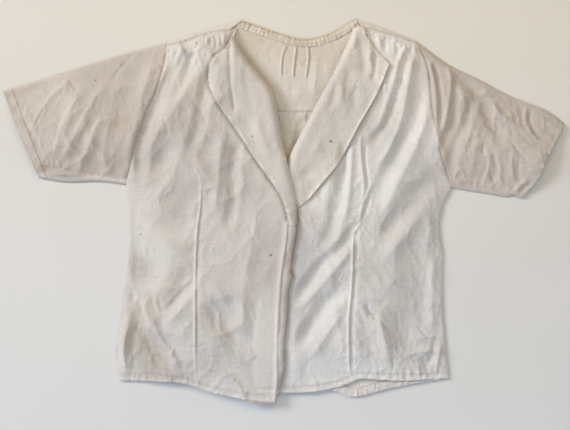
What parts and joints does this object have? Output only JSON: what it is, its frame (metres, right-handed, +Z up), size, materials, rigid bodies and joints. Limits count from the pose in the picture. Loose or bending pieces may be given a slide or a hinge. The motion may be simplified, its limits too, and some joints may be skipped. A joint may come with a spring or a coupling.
{
  "type": "wrap-front linen smock",
  "caption": "Short-sleeved wrap-front linen smock lying flat: turned-back lapels, gathered shoulders, tucked back yoke, stitched hems, press-stud closing.",
  "frame": {"origin": "centre of the garment's outline, on the surface that it lies on", "axes": "+Z up out of the front, +Y from hem to collar, +X to the wearer's left sleeve"},
  "size_m": [0.876, 0.6, 0.021],
  "materials": {
    "linen": "washed off-white linen, plain weave, matt",
    "linen_inside": "inside face of the same linen, a little darker and warmer",
    "binding": "ruched linen binding, yellowed along its edge",
    "press_stud": "small nickel-plated sew-on press studs, slightly dull"
  },
  "bodies": {
    "root": {"back_panel": "linen_inside", "back_yoke": "linen_inside", "back_hem": "linen_inside", "neck_binding": "binding", "shoulder_yoke_right": "linen", "shoulder_yoke_left": "linen", "front_right_side": "linen", "front_left_side": "linen", "hem_right_side": "linen", "stud_ball_1": "press_stud", "stud_socket_1": "press_stud"},
    "front_right": {"front_right_flap": "linen", "facing_right": "linen_inside", "hem_right_flap": "linen", "stud_ball_2": "press_stud", "stud_ball_3": "press_stud"},
    "front_left": {"front_left_flap": "linen", "facing_left": "linen_inside", "hem_left_flap": "linen", "stud_socket_2": "press_stud", "stud_socket_3": "press_stud"},
    "lapel_right": {"lapel_right": "linen"},
    "lapel_left": {"lapel_left": "linen"},
    "sleeve_right": {"sleeve_right": "linen", "sleeve_hem_right": "linen"},
    "sleeve_left": {"sleeve_left": "linen", "sleeve_hem_left": "linen"}
  },
  "joints": [
    {"name": "front_right_open", "type": "hinge", "parent": "root", "child": "front_right", "pos_m": [-0.1, -0.141, 0.01655], "axis": [-0.6597, -0.7513, -0.0205], "range_deg": [0, 160]},
    {"name": "front_left_open", "type": "hinge", "parent": "root", "child": "front_left", "pos_m": [0.1015, -0.169, 0.0138], "axis": [-0.833, 0.5533, 0], "range_deg": [0, 112]},
    {"name": "lapel_right_lift", "type": "hinge", "parent": "root", "child": "lapel_right", "pos_m": [-0.028, 0.1335, 0.01805], "axis": [-0.3216, 0.9466, -0.0238], "range_deg": [0, 110]},
    {"name": "lapel_left_lift", "type": "hinge", "parent": "root", "child": "lapel_left", "pos_m": [0.043, 0.131, 0.0148], "axis": [-0.4262, -0.9046, 0], "range_deg": [0, 65]},
    {"name": "sleeve_right_fold", "type": "hinge", "parent": "root", "child": "sleeve_right", "pos_m": [-0.215, 0.151, 0.0134], "axis": [0.2793, 0.9602, 0], "range_deg": [0, 160]},
    {"name": "sleeve_left_fold", "type": "hinge", "parent": "root", "child": "sleeve_left", "pos_m": [0.24, 0.1515, 0.0134], "axis": [0.2395, -0.9709, 0], "range_deg": [0, 160]}
  ],
  "couplings": [
    {"joint": "front_left_open", "follows": "front_right_open", "ratio": 0.7}
  ]
}
